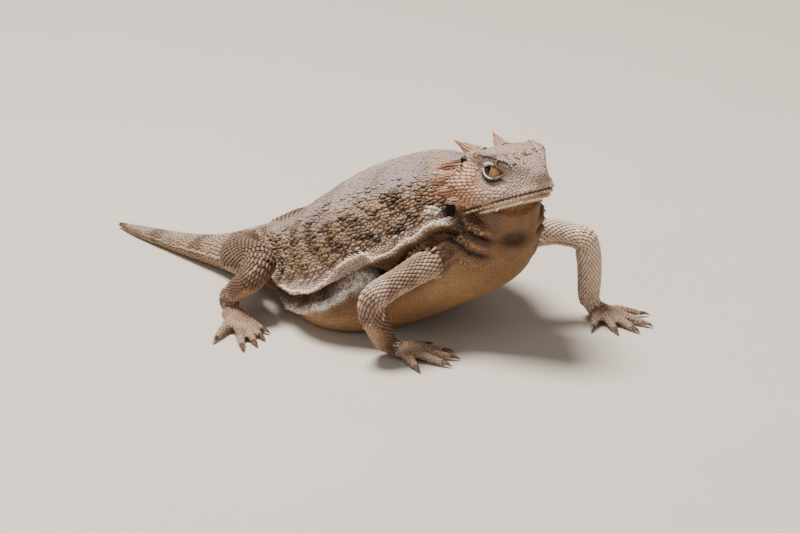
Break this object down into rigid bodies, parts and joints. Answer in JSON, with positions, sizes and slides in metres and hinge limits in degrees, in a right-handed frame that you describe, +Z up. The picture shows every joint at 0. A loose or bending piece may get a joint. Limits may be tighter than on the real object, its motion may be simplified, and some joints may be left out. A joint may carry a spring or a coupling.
{
  "type": "horned lizard figure",
  "caption": "Life-size horned lizard standing with raised head, broad flat spiny body, short tail, side fringe and crown horns.",
  "frame": {"origin": "middle of the outline seen from above, on the floor under the feet", "axes": "+X towards the head along the length of the animal, +Z up, its right side towards -Y"},
  "size_m": [0.1222, 0.0811, 0.0408],
  "materials": {
    "skin": "dry scaly hide, pinkish grey to ochre above, warm pale tan below",
    "eye": "wet gloss, near black",
    "horn": "satin horn, orange-red tips",
    "claw": "satin dark horn"
  },
  "bodies": {
    "root": {"claw_fore_left_1": "claw", "claw_fore_left_2": "claw", "claw_fore_left_3": "claw", "claw_fore_left_4": "claw", "claw_fore_left_5": "claw", "claw_fore_right_1": "claw", "claw_fore_right_2": "claw", "claw_fore_right_3": "claw", "claw_fore_right_4": "claw", "claw_fore_right_5": "claw", "claw_hind_left_1": "claw", "claw_hind_left_2": "claw", "claw_hind_left_3": "claw", "claw_hind_left_4": "claw", "claw_hind_left_5": "claw", "claw_hind_right_1": "claw", "claw_hind_right_2": "claw", "claw_hind_right_3": "claw", "claw_hind_right_4": "claw", "claw_hind_right_5": "claw", "eye_left": "eye", "eye_right": "eye", "foot_left": "skin", "foot_right": "skin", "forearm_left": "skin", "forearm_right": "skin", "hand_left": "skin", "hand_right": "skin", "head": "skin", "horn_occipital_left": "horn", "horn_occipital_right": "horn", "horn_temporal_1_left": "horn", "horn_temporal_1_right": "horn", "horn_temporal_2_left": "horn", "horn_temporal_2_right": "horn", "horn_temporal_3_left": "horn", "horn_temporal_3_right": "horn", "horn_temporal_4_left": "horn", "horn_temporal_4_right": "horn", "lower_jaw": "skin", "neck": "skin", "shank_left": "skin", "shank_right": "skin", "tail_base": "skin", "tail_tip": "skin", "thigh_left": "skin", "thigh_right": "skin", "trunk": "skin", "upper_arm_left": "skin", "upper_arm_right": "skin"}
  },
  "joints": []
}
